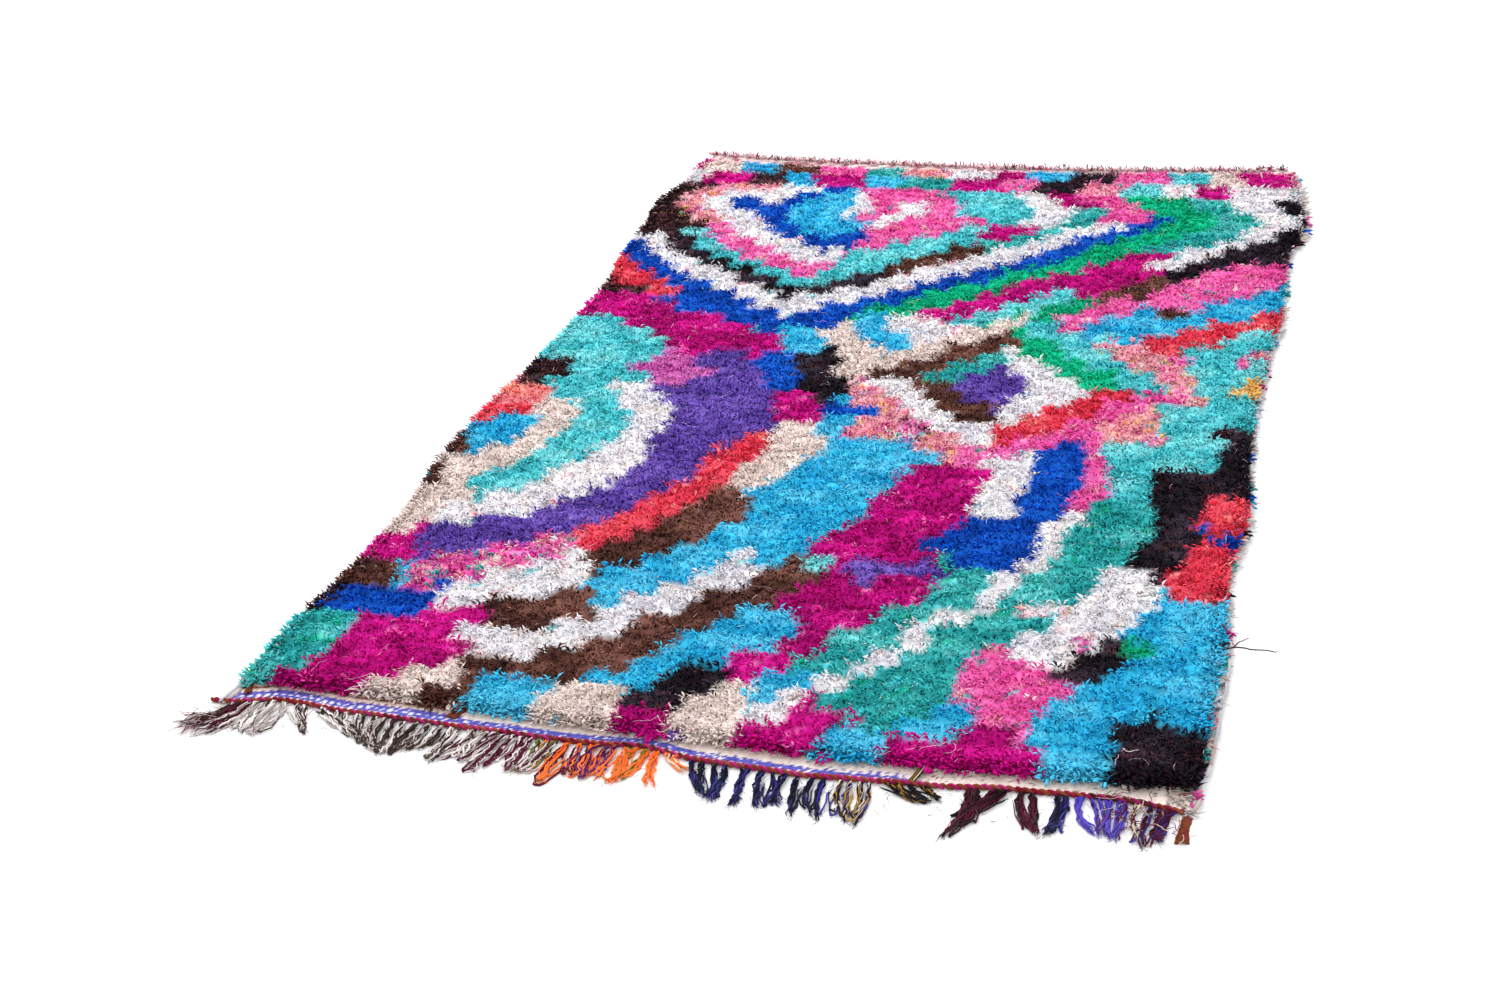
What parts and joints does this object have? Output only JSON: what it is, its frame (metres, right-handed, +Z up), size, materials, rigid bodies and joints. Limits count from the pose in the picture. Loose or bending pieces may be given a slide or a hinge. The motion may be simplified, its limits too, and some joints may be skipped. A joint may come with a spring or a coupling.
{
  "type": "boucherouite rug",
  "caption": "Shaggy rag rug lying flat: knotted strips of mixed colour in stepped diamonds and bands, a flat-woven band at each end and a knotted fringe.",
  "frame": {"origin": "on the floor, under the middle of the whole rug with its fringes", "axes": "+X across the rug, +Y along it from the tasselled near end to the far end, +Z up"},
  "size_m": [1.5522, 2.6196, 0.0343],
  "materials": {
    "rag_pile": "matt knotted cotton and jersey rag, cut ends, many dyes",
    "band_weave": "matt flat weave of cream and violet yarn",
    "fringe_yarn": "matt plied warp yarn, knotted, frayed tips",
    "rust_rag": "matt cut rag strip"
  },
  "bodies": {
    "root": {"pile_field": "rag_pile", "near_band": "band_weave", "far_band": "band_weave", "near_fringe": "fringe_yarn", "far_fringe": "fringe_yarn", "rust_rag_left": "rust_rag", "rust_rag_middle": "rust_rag", "rust_rag_corner": "rust_rag"}
  },
  "joints": []
}
